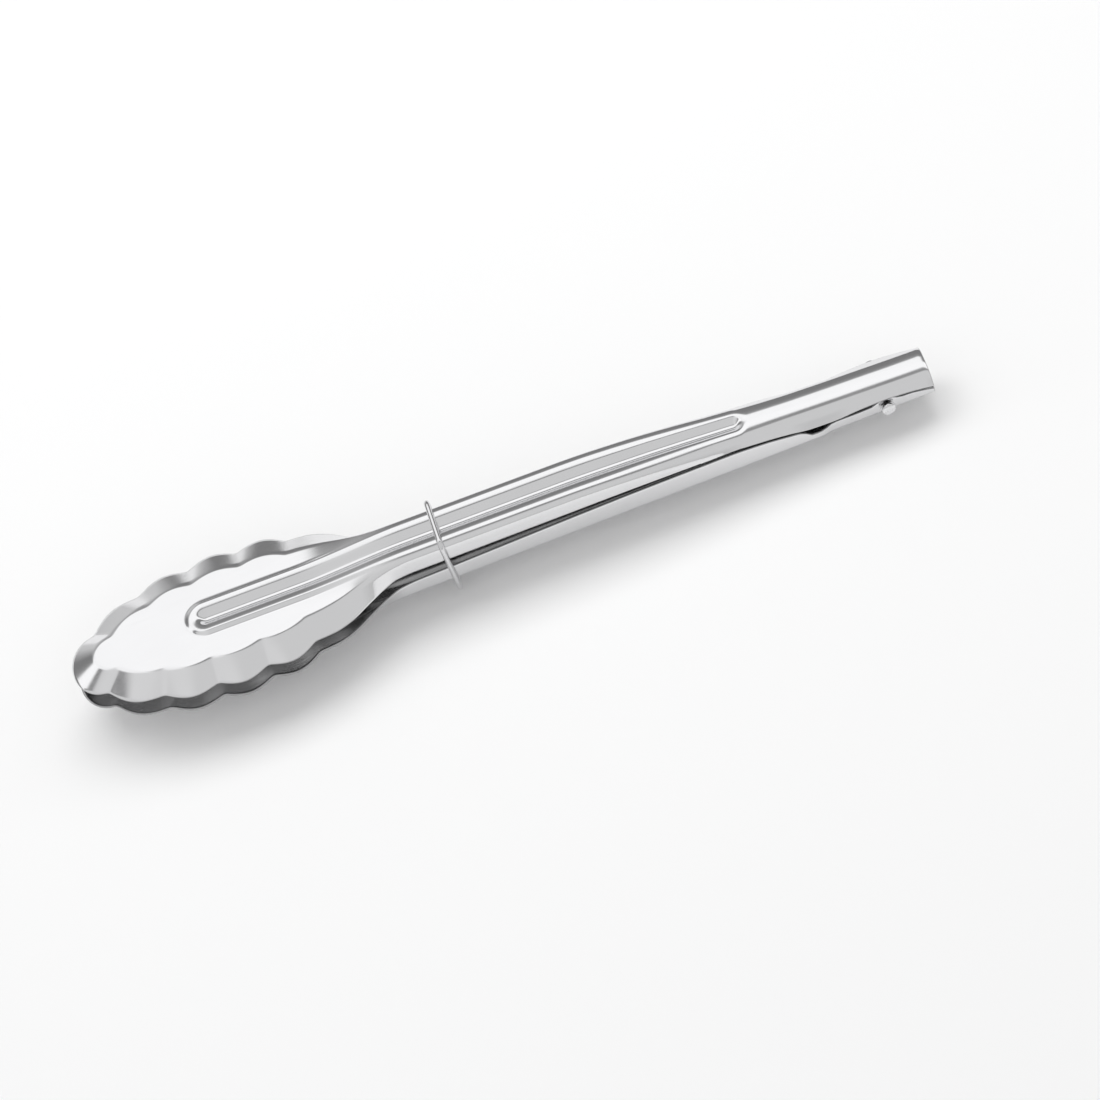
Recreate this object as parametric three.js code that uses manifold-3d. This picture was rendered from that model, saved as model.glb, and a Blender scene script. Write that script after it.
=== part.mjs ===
import * as THREE from 'three';
import { mergeVertices } from 'three/addons/utils/BufferGeometryUtils.js';
import Module from 'manifold-3d';

// Spring-loaded kitchen tongs: two pressed sheet-steel arms on a riveted pin, pushed apart by a
// torsion spring and held nearly closed by a wire ring that slides along the handle.
// Millimetres. The pin lies along Y above the origin, the heads are towards -X, and the plane
// z = 0 is the outer face of the lower arm's web.

// Driving dimensions
const SHEET = 0.8;
const REAR_END = 16.7;
const TIP_END = -283.3;
const HALF_WIDTH = 8.7;
const CORNER_RADIUS = 2.2;
const CLOSED_HEIGHT = 17;
const REST_OPENING = THREE.MathUtils.degToRad(1.2);
const NECK_START = -165;
const HEAD_START = -202.8;

// Hinge: the lower arm steps in behind the notch, and the upper arm's ears sit inside it
const PIN_HEIGHT = 4;
const PIN_RADIUS = 1.4;
const PIN_HEAD_RADIUS = 2.5;
const PIN_HEAD_LENGTH = 1.9;
const PIN_DOME = 0.9;
const PIN_FLOAT = 1.1;
const RUNNING_GAP = 0.3;
const LOWER_REAR_HALF_WIDTH = 7.5;
const STEP_FRONT = -24;
const STEP_REAR = -18.5;
const EAR_OUTER = 6.2;
const EAR_RADIUS = 2.5;
const EAR_TOP_HALF_LENGTH = 6;
const EAR_STEPS = 10;

// Torsion spring
const SPRING_WIRE_RADIUS = 0.55;
const SPRING_COIL_RADIUS = 2.3;
const SPRING_TURNS = 5.5;
const SPRING_PITCH = 1.45;
const SPRING_LEG = 21;
const SPRING_LEG_RISE = 2.2;

// Locking ring
const RING_X = -153.3;
const RING_WIRE_RADIUS = 0.95;
const RING_INNER_HALF_WIDTH = 9.2;
const RING_BOTTOM = -3;
const RING_TOP = 21.4;
const RING_CORNER = 2.6;

// Head: a shallow dish with scalloped, flared walls. Notches run from the neck to the tip.
const RIM_NOTCHES = [[HEAD_START, 21.7], [-220, 24], [-237.4, 23.9], [-255.5, 21.1], [-273.4, 12.1]];
const FLOOR_NOTCHES = [[-203.6, 12.4], [-220, 14.6], [-237, 14.5], [-252.2, 12.3], [-266.4, 5.9]];
const RIM_LOBE_DEPTH = 3.1;
const FLOOR_LOBE_DEPTH = 2.2;
const FLOOR_TIP = -273.9;
const HEAD_CORNER_RADIUS = 3.2;
const NOTCH_CORNER_RADIUS = 5.2;
const HEAD_SAG = 2.2;

// Hairpin bead pressed into each web: a channel between two ridges with round ends
const BEAD_FRONT = -235;
const BEAD_REAR = -50;
const CROWN = 5.46;
const GROOVE_DEPTH = 1.15;
const GROOVE_END = 3.6;
const SLOPE_DEPTH = 0.9;
const CHANNEL_START = 0.3;
const OUTER_CROWN_RADIUS = 4.4;
const BEAD_EDGE = 7.4;
const RIDGE_HEIGHT = 0.8;

// The handle's web ends where its corner starts. Towards the rear the flat web turns into an arch
const FLOOR_HALF_WIDTH = 7.6;
const REAR_ARCH_FRONT = -105;
const REAR_ARCH_REAR = -28;
const REAR_RADIUS = 4.4;
const REAR_CORNER_SCALE = 1.3;
const REAR_FLAT = 1;
const REAR_CROWN_RADIUS = 10;

// Mesh density
const LOBE_STEPS = 4;
const TIP_STEPS = 5;
const CORNER_STEPS = 3;
const ACROSS_LINES = [0, 0.9, 2.1, 3.4, CROWN];
const PIN_SIDES = 24;
const DOME_STEPS = 4;
const RING_CORNER_STEPS = 4;
const RING_SIDES = 10;
const BEAD_LIMIT = 0.97;
const SLOPE_STEP = 0.01;
const SURFACE_MERGE = 1e-3;
const SOLID_MERGE = 1e-4;
const SPRING_STEPS = 80;
const SPRING_SIDES = 8;
const HANDLE_STATIONS = [REAR_END, 13, 9, 5, 2.2, 0, -2.2, -5, -10, -15, -18.5, -22, -24, -26, -29.5,
  -36, -42, -46, -50, -54, -60, -70, -80, -95, -115, -135, -150];
const NECK_STATIONS = [-158, -165, -170, -174, -178, -182, -186, -191, -197];

// Heights along the handle, as [x, height] pairs
const LOWER_EDGE = [[-290, 7], [-200, 7], [-176, 7.4], [-154, 8], [-131, 8.7], [-110, 9.3],
  [-85, 9.8], [-55, 9.9], [-42, 9.1], [-34, 7.9], [-29.5, 7.05], [-26, 4.3], [-22, 4.3], [-18, 5],
  [-10, 4.9], [-5, 5.1], [-2.2, 6.5], [0, 6.8], [2.2, 6.5], [5, 5.1], [9, 4.8],
  [13, 3.9], [20, 2.4]];
const UPPER_EDGE = [[-290, 9.8], [-200, 9.8], [-176, 9], [-154, 9.1], [-131, 9.4], [-110, 9.7],
  [-85, 10.1], [-55, 10.2], [-42, 9.4], [-34, 8.3], [-26, 6.8], [-18, 6.6], [-9, 7.6], [0, 8],
  [9, 7.2], [20, 5.6]];
const UPPER_WEB = [[-290, CLOSED_HEIGHT], [-112, CLOSED_HEIGHT], [-85, 16.2], [-70, 15.3], [-55, 14.1],
  [-40, 12.8], [-26, 11.9], [-10, 11.3], [20, 10.6]];
const NECK_RIM = [[NECK_START, HALF_WIDTH], [-171, 9.2], [-176, 11.2], [-182, 14.6], [-190, 19.3],
  [-196, 21.2], [HEAD_START, 21.7]];
const NECK_FLOOR = [[NECK_START, FLOOR_HALF_WIDTH], [-171, 7.75], [-177, 8.4], [-184, 9.9],
  [-191, 11.4], [-197, 12.1], [HEAD_START, 12.4]];

const wasm = await Module();
wasm.setup();

// A smooth curve through [x, value] pairs listed from low x to high x, level outside them.
function curveThrough(pairs, x) {
  const keys = [...pairs].sort((a, b) => a[0] - b[0]);
  if (x <= keys[0][0]) return keys[0][1];
  const last = keys.length - 1;
  if (x >= keys[last][0]) return keys[last][1];
  const i = keys.findIndex((key) => key[0] > x) - 1;
  const slope = (a, b) => (keys[b][1] - keys[a][1]) / (keys[b][0] - keys[a][0]);
  const tangent = (k) => {
    if (k === 0 || k === last) return 0;
    const before = slope(k - 1, k);
    const after = slope(k, k + 1);
    return before * after <= 0 ? 0 : (2 * before * after) / (before + after);
  };
  const width = keys[i + 1][0] - keys[i][0];
  const t = (x - keys[i][0]) / width;
  const rise = t * t * (3 - 2 * t);
  return keys[i][1] * (1 - rise) + keys[i + 1][1] * rise
    + width * (tangent(i) * t * (1 - t) ** 2 - tangent(i + 1) * t * t * (1 - t));
}

// 0 before a, 1 after b, easing between them.
function ease(value, a, b) {
  return THREE.MathUtils.smoothstep((value - a) / (b - a), 0, 1);
}

// 0 on the handle and 1 in the head.
function headShare(x) {
  return 1 - ease(x, HEAD_START, NECK_START);
}

// 0 on the handle and 1 at the upper arm's arched rear end.
function rearShare(x, arched) {
  return arched ? ease(x, REAR_ARCH_FRONT, REAR_ARCH_REAR) : 0;
}

// How far a round shoulder has fallen after a run, carrying on straight past the stop.
function roundedFall(run, radius, stop) {
  const inside = THREE.MathUtils.clamp(run, 0, stop);
  return inside ** 2 / (2 * radius) + (Math.max(run - inside, 0) * stop) / radius;
}

// How far the web's outer face lies inside the straight web's plane, at a point on it.
function webInset(x, y, arched) {
  const share = headShare(x);
  const across = Math.abs(y);
  const distance = Math.hypot(x - THREE.MathUtils.clamp(x, BEAD_FRONT, BEAD_REAR), y);
  const channel = GROOVE_DEPTH * (1 - ease(distance, CHANNEL_START, GROOVE_END))
    + SLOPE_DEPTH * (1 - ease(distance, CHANNEL_START, CROWN));
  const flank = roundedFall(across - CROWN, OUTER_CROWN_RADIUS, FLOOR_HALF_WIDTH - CROWN);
  const arch = roundedFall(across - REAR_FLAT, REAR_CROWN_RADIUS, REAR_RADIUS);
  const shoulder = THREE.MathUtils.lerp(flank, arch, rearShare(x, arched));
  const headFloor = RIDGE_HEIGHT * ease(distance, CROWN, BEAD_EDGE);
  return HEAD_SAG * share + channel + THREE.MathUtils.lerp(shoulder, headFloor, share);
}

// How far in from the flange the handle's corner starts.
function cornerRun(x, arched) {
  return THREE.MathUtils.lerp(HALF_WIDTH - FLOOR_HALF_WIDTH, REAR_RADIUS, rearShare(x, arched));
}

// Points of one side of the dish from the first notch to the tip, bulging between notches.
function scallops(notches, depth, tipX) {
  const points = [];
  for (let i = 0; i + 1 < notches.length; i += 1) {
    const from = new THREE.Vector2(...notches[i]);
    const chord = new THREE.Vector2(...notches[i + 1]).sub(from);
    const outward = new THREE.Vector2(chord.y, -chord.x).normalize();
    for (let k = 0; k < LOBE_STEPS; k += 1) {
      const t = k / LOBE_STEPS;
      const bulge = depth * Math.sin(Math.PI * t);
      points.push(from.clone().addScaledVector(chord, t).addScaledVector(outward, bulge));
    }
  }
  const [notchX, notchY] = notches[notches.length - 1];
  for (let k = 0; k <= TIP_STEPS; k += 1) {
    const angle = (Math.PI / 2) * (k / TIP_STEPS);
    points.push(new THREE.Vector2(
      notchX + (tipX - notchX) * Math.sin(angle),
      k === TIP_STEPS ? 0 : notchY * Math.cos(angle),
    ));
  }
  return points;
}

// Stations from the rear end to the tip: where the web ends and where the wall's edge is.
function stations(halfWidthAt, arched) {
  const handle = HANDLE_STATIONS.map((x) => ({
    floor: new THREE.Vector2(x, halfWidthAt(x) - cornerRun(x, arched)),
    rim: new THREE.Vector2(x, halfWidthAt(x)),
    notch: 0,
  }));
  const neck = NECK_STATIONS.map((x, i) => ({
    floor: new THREE.Vector2(x, curveThrough(NECK_FLOOR, x)),
    rim: new THREE.Vector2(x, curveThrough(NECK_RIM, x)),
    notch: i / NECK_STATIONS.length,
  }));
  const floors = scallops(FLOOR_NOTCHES, FLOOR_LOBE_DEPTH, FLOOR_TIP);
  const rims = scallops(RIM_NOTCHES, RIM_LOBE_DEPTH, TIP_END);
  const tipStart = LOBE_STEPS * (RIM_NOTCHES.length - 1);
  const notchAt = (i) => Math.cos(
    i < tipStart ? (Math.PI * i) / LOBE_STEPS : (Math.PI / 2) * ((i - tipStart) / TIP_STEPS),
  );
  const head = rims.map((rim, i) => ({ floor: floors[i], rim, notch: notchAt(i) ** 2 }));
  return [...handle, ...neck, ...head];
}

// The wall's section from the web's edge to the rim: a round corner that starts at a tilt, then a
// straight run.
function wallSection(run, drop, wantedRadius, tilt) {
  const radius = Math.min(wantedRadius, run / (1 - Math.sin(tilt)));
  const leadOut = radius * Math.sin(tilt);
  const leadDown = radius * (1 - Math.cos(tilt));
  const farRun = run + leadOut;
  const farDrop = drop + leadDown;
  const reach = Math.hypot(farRun, farDrop - radius);
  const straight = Math.sqrt(Math.max(reach * reach - radius * radius, 0));
  const slope = Math.atan2(farDrop - radius, farRun) + Math.atan2(radius, straight);
  const section = [];
  for (let k = 1; k <= CORNER_STEPS; k += 1) {
    const angle = tilt + (slope - tilt) * (k / CORNER_STEPS);
    section.push([radius * Math.sin(angle) - leadOut, radius * (1 - Math.cos(angle)) - leadDown]);
  }
  section.push([run, drop]);
  return section;
}

// The corner radius between the web and the wall.
function cornerRadius(x, notch, arched) {
  const handle = THREE.MathUtils.lerp(CORNER_RADIUS, REAR_CORNER_SCALE * REAR_RADIUS, rearShare(x, arched));
  const head = THREE.MathUtils.lerp(HEAD_CORNER_RADIUS, NOTCH_CORNER_RADIUS, notch);
  return THREE.MathUtils.lerp(handle, head, headShare(x));
}

// Half a section at one station, from the middle of the web out to the rim, as [x, y, inset].
function halfSection({ floor, rim, notch }, edgeInset, arched) {
  const beadEdge = Math.min(BEAD_EDGE, floor.y * BEAD_LIMIT);
  const across = ACROSS_LINES.map((y) => (y * beadEdge) / BEAD_EDGE);
  const insetAt = (y) => webInset(floor.x, y, arched);
  const points = [...across, beadEdge, floor.y].map((y) => [floor.x, y, insetAt(y)]);
  const start = insetAt(floor.y);
  const outward = rim.clone().sub(floor);
  const run = outward.length();
  outward.normalize();
  const slope = (insetAt(floor.y + SLOPE_STEP) - insetAt(floor.y - SLOPE_STEP)) / (2 * SLOPE_STEP);
  const tilt = Math.max(Math.atan(slope), 0) * Math.abs(outward.y);
  const wall = wallSection(run, edgeInset(rim.x) - start, cornerRadius(rim.x, notch, arched), tilt);
  for (const [out, down] of wall) {
    points.push([floor.x + outward.x * out, floor.y + outward.y * out, start + down]);
  }
  return points;
}

// A sheet of the given thickness below a surface, closed along the surface's free edges.
function thicken(surface, thickness) {
  surface.computeVertexNormals();
  const outer = surface.attributes.position;
  const normal = surface.attributes.normal;
  const index = surface.index.array;
  const count = outer.count;
  const positions = [];
  for (let side = 0; side < 2; side += 1) {
    for (let i = 0; i < count; i += 1) {
      positions.push(
        outer.getX(i) - side * thickness * normal.getX(i),
        outer.getY(i) - side * thickness * normal.getY(i),
        outer.getZ(i) - side * thickness * normal.getZ(i),
      );
    }
  }
  const faces = [];
  const edges = new Map();
  for (let i = 0; i < index.length; i += 3) {
    const [a, b, c] = index.slice(i, i + 3);
    faces.push(a, b, c, a + count, c + count, b + count);
    for (const [from, to] of [[a, b], [b, c], [c, a]]) {
      if (!edges.delete(`${to},${from}`)) edges.set(`${from},${to}`, [from, to]);
    }
  }
  for (const [from, to] of edges.values()) {
    faces.push(to, from, from + count, to, from + count, to + count);
  }
  return meshGeometry(positions, faces);
}

function meshGeometry(positions, faces) {
  const geometry = new THREE.BufferGeometry();
  geometry.setAttribute('position', new THREE.Float32BufferAttribute(positions, 3));
  geometry.setIndex(faces);
  return geometry;
}

// One pressed arm, with the outer face up. webAt gives the web's height and edgeAt the rim's.
function armSheet(webAt, edgeAt, halfWidthAt, arched) {
  const edgeInset = (x) => webAt(x) - edgeAt(x);
  const rows = stations(halfWidthAt, arched).map((station) => {
    const half = halfSection(station, edgeInset, arched);
    const mirrored = half.slice(1).reverse().map(([x, y, inset]) => [x, -y, inset]);
    return [...mirrored, ...half].map(([x, y, inset]) => [x, y, webAt(x) - inset]);
  });
  const columns = rows[0].length;
  const faces = [];
  for (let j = 0; j + 1 < rows.length; j += 1) {
    for (let k = 0; k + 1 < columns; k += 1) {
      const a = j * columns + k;
      const b = a + columns;
      faces.push(a, b + 1, b, a, a + 1, b + 1);
    }
  }
  const surface = mergeVertices(meshGeometry(rows.flat(2), faces), SURFACE_MERGE);
  surface.setIndex(withoutSlivers(surface.index.array));
  return thicken(surface, SHEET);
}

// The triangles that still have three different corners after merging.
function withoutSlivers(index) {
  const kept = [];
  for (let i = 0; i < index.length; i += 3) {
    const [a, b, c] = index.slice(i, i + 3);
    if (a !== b && b !== c && c !== a) kept.push(a, b, c);
  }
  return kept;
}

function toSolid(geometry) {
  const bare = geometry.clone();
  bare.deleteAttribute('normal');
  bare.deleteAttribute('uv');
  const merged = mergeVertices(bare, SOLID_MERGE);
  const vertProperties = new Float32Array(merged.attributes.position.array);
  const triVerts = new Uint32Array(withoutSlivers(merged.index.array));
  return new wasm.Manifold(new wasm.Mesh({ numProp: 3, vertProperties, triVerts }));
}

function toGeometry(solid) {
  const mesh = solid.getMesh();
  return meshGeometry(Array.from(mesh.vertProperties), Array.from(mesh.triVerts));
}

// A round bar along Y through the pin's place.
function pinBar(radius, halfLength) {
  const bar = new THREE.CylinderGeometry(radius, radius, 2 * halfLength, PIN_SIDES);
  bar.translate(0, 0, PIN_HEIGHT);
  return bar;
}

function lowerArm() {
  const halfWidthAt = (x) => (
    HALF_WIDTH + (LOWER_REAR_HALF_WIDTH - HALF_WIDTH) * ease(x, STEP_FRONT, STEP_REAR)
  );
  const sheet = armSheet(() => 0, (x) => -curveThrough(LOWER_EDGE, x), halfWidthAt, false);
  sheet.rotateX(Math.PI);
  const hole = toSolid(pinBar(PIN_RADIUS + RUNNING_GAP, HALF_WIDTH));
  return toGeometry(toSolid(sheet).subtract(hole));
}

function upperEdgeInset(x) {
  return curveThrough(UPPER_WEB, x) - curveThrough(UPPER_EDGE, x);
}

// The height of the upper arm's outer face over a point near the pin.
function upperSkin(x, y) {
  const station = {
    floor: new THREE.Vector2(x, HALF_WIDTH - cornerRun(x, true)),
    rim: new THREE.Vector2(x, HALF_WIDTH),
    notch: 0,
  };
  const section = halfSection(station, upperEdgeInset, true);
  const i = section.findIndex((point) => point[1] > Math.abs(y));
  const [, fromY, fromInset] = section[i - 1];
  const [, toY, toInset] = section[i];
  const t = (Math.abs(y) - fromY) / (toY - fromY);
  return curveThrough(UPPER_WEB, x) - THREE.MathUtils.lerp(fromInset, toInset, t);
}

// One ear of the upper arm: a tab from the middle of the arched web's thickness down to the pin.
function ear(side) {
  const top = curveThrough(UPPER_WEB, 0);
  const outline = new THREE.Shape();
  outline.moveTo(-EAR_TOP_HALF_LENGTH, top);
  outline.lineTo(-EAR_RADIUS, PIN_HEIGHT);
  outline.absarc(0, PIN_HEIGHT, EAR_RADIUS, Math.PI, 2 * Math.PI, false);
  outline.lineTo(EAR_TOP_HALF_LENGTH, top);
  outline.closePath();
  const plate = new THREE.ExtrudeGeometry(outline, {
    depth: SHEET,
    bevelEnabled: false,
    curveSegments: EAR_STEPS,
  });
  plate.rotateX(Math.PI / 2);
  plate.translate(0, side > 0 ? EAR_OUTER : SHEET - EAR_OUTER, 0);
  const position = plate.attributes.position;
  for (let i = 0; i < position.count; i += 1) {
    if (position.getZ(i) > top - SHEET) {
      position.setZ(i, upperSkin(position.getX(i), position.getY(i)) - SHEET / 2);
    }
  }
  return toSolid(plate);
}

function upperArm() {
  const sheet = armSheet(
    (x) => curveThrough(UPPER_WEB, x),
    (x) => curveThrough(UPPER_EDGE, x),
    () => HALF_WIDTH,
    true,
  );
  const hole = toSolid(pinBar(PIN_RADIUS + RUNNING_GAP, HALF_WIDTH));
  const joined = toSolid(sheet).add(ear(1)).add(ear(-1)).subtract(hole);
  const geometry = toGeometry(joined);
  geometry.translate(0, 0, -PIN_HEIGHT);
  geometry.rotateY(REST_OPENING);
  geometry.translate(0, 0, PIN_HEIGHT);
  return geometry;
}

// A rivet with a domed head outside each side of the lower arm.
function pivotPin() {
  const seat = LOWER_REAR_HALF_WIDTH + PIN_FLOAT;
  const end = seat + PIN_HEAD_LENGTH;
  const dome = [];
  for (let k = 0; k <= DOME_STEPS; k += 1) {
    const angle = (Math.PI / 2) * (k / DOME_STEPS);
    dome.push([PIN_HEAD_RADIUS - PIN_DOME * (1 - Math.cos(angle)), end - PIN_DOME * (1 - Math.sin(angle))]);
  }
  const top = [[PIN_RADIUS, seat], [PIN_HEAD_RADIUS, seat], ...dome, [0, end]];
  const bottom = [...top].reverse().map(([radius, y]) => [radius, -y]);
  const profile = [...bottom, ...top].map(([radius, y]) => new THREE.Vector2(radius, y));
  const pin = new THREE.LatheGeometry(profile, PIN_SIDES);
  pin.translate(0, 0, PIN_HEIGHT);
  return toGeometry(toSolid(pin));
}

// The spring's wire: along the lower web, round the pin, and up along the upper web.
class SpringWire extends THREE.Curve {
  getPoint(t) {
    const turned = 2 * Math.PI * SPRING_TURNS;
    const coilLength = turned * SPRING_COIL_RADIUS;
    const along = t * (coilLength + 2 * SPRING_LEG);
    const width = SPRING_TURNS * SPRING_PITCH;
    if (along < SPRING_LEG) {
      return new THREE.Vector3(along - SPRING_LEG, width / 2, PIN_HEIGHT - SPRING_COIL_RADIUS);
    }
    if (along > SPRING_LEG + coilLength) {
      const out = along - SPRING_LEG - coilLength;
      const rise = Math.atan2(SPRING_LEG_RISE, SPRING_LEG);
      return new THREE.Vector3(
        -out * Math.cos(rise), -width / 2, PIN_HEIGHT + SPRING_COIL_RADIUS + out * Math.sin(rise),
      );
    }
    const angle = (along - SPRING_LEG) / SPRING_COIL_RADIUS;
    return new THREE.Vector3(
      SPRING_COIL_RADIUS * Math.sin(angle),
      width / 2 - (width * angle) / turned,
      PIN_HEIGHT - SPRING_COIL_RADIUS * Math.cos(angle),
    );
  }
}

function torsionSpring() {
  const section = new THREE.Shape();
  section.absarc(0, 0, SPRING_WIRE_RADIUS, 0, 2 * Math.PI, false);
  const path = new SpringWire();
  return new THREE.ExtrudeGeometry(section, {
    extrudePath: path,
    steps: SPRING_STEPS,
    curveSegments: SPRING_SIDES / 2,
  });
}

// A closed loop of round wire in a plane across the handle.
function lockingRing() {
  const wire = RING_WIRE_RADIUS;
  const halfWidth = RING_INNER_HALF_WIDTH + wire;
  const middle = (RING_TOP + RING_BOTTOM) / 2;
  const halfHeight = (RING_TOP - RING_BOTTOM) / 2 + wire;
  const corners = 4;
  const positions = [];
  for (let c = 0; c < corners; c += 1) {
    const centreY = (c === 0 || c === 3 ? 1 : -1) * (halfWidth - RING_CORNER);
    const centreZ = middle + (c < 2 ? 1 : -1) * (halfHeight - RING_CORNER);
    for (let k = 0; k <= RING_CORNER_STEPS; k += 1) {
      const angle = (Math.PI / 2) * (c + k / RING_CORNER_STEPS);
      for (let s = 0; s < RING_SIDES; s += 1) {
        const turn = (2 * Math.PI * s) / RING_SIDES;
        const out = RING_CORNER + wire * Math.cos(turn);
        positions.push(
          RING_X + wire * Math.sin(turn),
          centreY + out * Math.cos(angle),
          centreZ + out * Math.sin(angle),
        );
      }
    }
  }
  const rings = corners * (RING_CORNER_STEPS + 1);
  const faces = [];
  for (let r = 0; r < rings; r += 1) {
    for (let s = 0; s < RING_SIDES; s += 1) {
      const a = r * RING_SIDES + s;
      const b = r * RING_SIDES + ((s + 1) % RING_SIDES);
      const c = ((r + 1) % rings) * RING_SIDES + s;
      const d = ((r + 1) % rings) * RING_SIDES + ((s + 1) % RING_SIDES);
      faces.push(a, d, b, a, c, d);
    }
  }
  return meshGeometry(positions, faces);
}

function steel(color, roughness) {
  return new THREE.MeshStandardMaterial({ color, roughness, metalness: 1 });
}

function addPiece(group, name, geometry, material) {
  geometry.computeVertexNormals();
  const mesh = new THREE.Mesh(geometry, material);
  mesh.name = name;
  group.add(mesh);
}

const tongs = new THREE.Group();
addPiece(tongs, 'lower_arm', lowerArm(), steel(0xc9cacc, 0.18));
addPiece(tongs, 'upper_arm', upperArm(), steel(0xcdced0, 0.18));
addPiece(tongs, 'pivot_pin', pivotPin(), steel(0xd2d3d5, 0.22));
addPiece(tongs, 'torsion_spring', torsionSpring(), steel(0x9fa1a4, 0.3));
addPiece(tongs, 'locking_ring', lockingRing(), steel(0xd6d7d9, 0.15));

export default tongs;
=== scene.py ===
import math

import bmesh
import bpy
import numpy as np
from mathutils import Matrix, Vector


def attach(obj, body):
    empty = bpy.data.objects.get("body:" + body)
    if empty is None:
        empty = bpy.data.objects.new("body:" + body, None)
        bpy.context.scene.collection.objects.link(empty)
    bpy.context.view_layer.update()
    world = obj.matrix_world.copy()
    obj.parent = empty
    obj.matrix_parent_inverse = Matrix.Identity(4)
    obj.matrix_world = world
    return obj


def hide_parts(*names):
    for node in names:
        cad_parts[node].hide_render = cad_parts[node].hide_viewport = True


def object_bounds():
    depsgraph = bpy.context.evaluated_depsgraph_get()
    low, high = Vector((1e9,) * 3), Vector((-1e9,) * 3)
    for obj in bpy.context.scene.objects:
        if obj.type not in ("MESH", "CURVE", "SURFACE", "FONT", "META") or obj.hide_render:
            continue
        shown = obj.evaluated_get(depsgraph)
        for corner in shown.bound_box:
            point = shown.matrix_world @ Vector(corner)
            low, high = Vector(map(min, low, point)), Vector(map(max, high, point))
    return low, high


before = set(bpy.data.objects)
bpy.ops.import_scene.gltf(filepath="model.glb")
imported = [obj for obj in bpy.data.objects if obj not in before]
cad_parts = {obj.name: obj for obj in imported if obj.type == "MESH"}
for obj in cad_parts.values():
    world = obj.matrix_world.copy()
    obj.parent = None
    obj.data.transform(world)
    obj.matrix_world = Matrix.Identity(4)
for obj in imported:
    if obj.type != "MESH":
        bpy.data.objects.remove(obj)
CAD_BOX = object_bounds()

MM = 0.001
# lengths and areas taken as nothing, and the distance in metres at which points are welded
SHORT = 1e-9
VANISHING = 1e-12
WELD = 1e-6

# ---------------------------------------------------------------- sizes, in millimetres
SHEET = 0.8
REAR_END = 16.7
TIP_END = -283.3
HALF_WIDTH = 8.7
CORNER_RADIUS = 2.2
CLOSED_HEIGHT = 17.0
REST_OPENING = math.radians(1.2)
NECK_START = -165.0
HEAD_START = -202.8

PIN_HEIGHT = 4.0
PIN_RADIUS = 1.4
PIN_HEAD_RADIUS = 2.5
PIN_FLOAT = 1.1
PIN_HEAD_LENGTH = 1.9
PIN_DOME_WIDTH = 0.8
PIN_DOME_HEIGHT = 0.75
PIN_HEAD_CHAMFER = 0.12
PIN_NECK = 0.05
PIN_FACE_RADII = (1.2, 0.6, 0.0)
RUNNING_GAP = 0.3
LOWER_REAR_HALF_WIDTH = 7.5
STEP_FRONT = -24.0
STEP_REAR = -18.5
EAR_OUTER = 6.2
EAR_RADIUS = 2.5
EAR_TOP_HALF_LENGTH = 6.0

SPRING_WIRE_RADIUS = 0.55
SPRING_COIL_RADIUS = 2.3
SPRING_TURNS = 5.5
SPRING_PITCH = 1.45
SPRING_LEG = 21.0
SPRING_LEG_RISE = 2.2
# how far from the coil each leg's straight part begins
LOWER_LEG_START = 0.4
UPPER_LEG_START = 0.5
# the spring is two objects: where they part, in turns from its end, and how far they overlap
COIL_SPLIT = 0.5
COIL_OVERLAP = 0.05
# the thickness of the wire's last points at a free end, and where it goes inside the other object
WIRE_END = (0.72, 0.94)
WIRE_TUCK = 0.97

RING_X = -153.3
RING_WIRE_RADIUS = 0.95
RING_INNER_HALF_WIDTH = 9.2
RING_BOTTOM = -3.0
RING_TOP = 21.4
RING_CORNER = 2.6

RIM_NOTCHES = [(HEAD_START, 21.7), (-220, 24), (-237.4, 23.9), (-255.5, 21.1), (-273.4, 12.1)]
FLOOR_NOTCHES = [(-203.6, 12.4), (-220, 14.6), (-237, 14.5), (-252.2, 12.3), (-266.4, 5.9)]
RIM_LOBE_DEPTH = 3.1
FLOOR_LOBE_DEPTH = 2.2
FLOOR_TIP = -273.9
HEAD_CORNER_RADIUS = 3.2
NOTCH_CORNER_RADIUS = 5.2
HEAD_SAG = 2.2
NOTCH_SOFTNESS = 0.8

BEAD_FRONT = -235.0
BEAD_REAR = -50.0
CROWN = 5.46
GROOVE_DEPTH = 1.15
GROOVE_END = 3.6
SLOPE_DEPTH = 0.9
CHANNEL_START = 0.3
OUTER_CROWN_RADIUS = 4.4
BEAD_EDGE = 7.4
RIDGE_HEIGHT = 0.8
FLOOR_HALF_WIDTH = 7.6
REAR_ARCH_FRONT = -105.0
REAR_ARCH_REAR = -28.0
REAR_RADIUS = 4.4
REAR_FLAT = 1.0
REAR_CROWN_RADIUS = 10.0

# how far the sheet's free edges are rounded back
EDGE_ROUNDING = 0.22
REAR_CORNER_SCALE = 1.3
# the bead stays inside this share of the web's half width
BEAD_LIMIT = 0.97
# the distance over which a slope is measured
SLOPE_STEP = 0.01
FLOOR_SOFTNESS = 1.1

# mesh density
HANDLE_STEP = 1.8
BEAD_END_STEP = 0.4
BEAD_END_REACH = 9.0
NECK_STEP = 0.7
LOBE_STEPS = 40
TIP_STEPS = 30
CHANNEL_LINES = 56
FLOOR_LINES = 12
CORNER_LINES = 12
WALL_LINES = 8
EDGE_LINES = 3
EAR_STEPS = 32
PIN_SIDES = 64
DOME_STEPS = 12
RING_SIDES = 32
RING_CORNER_STEPS = 12
SPRING_SIDES = 20
SPRING_LEG_POINTS = 24
COIL_STEPS = 48

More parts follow.
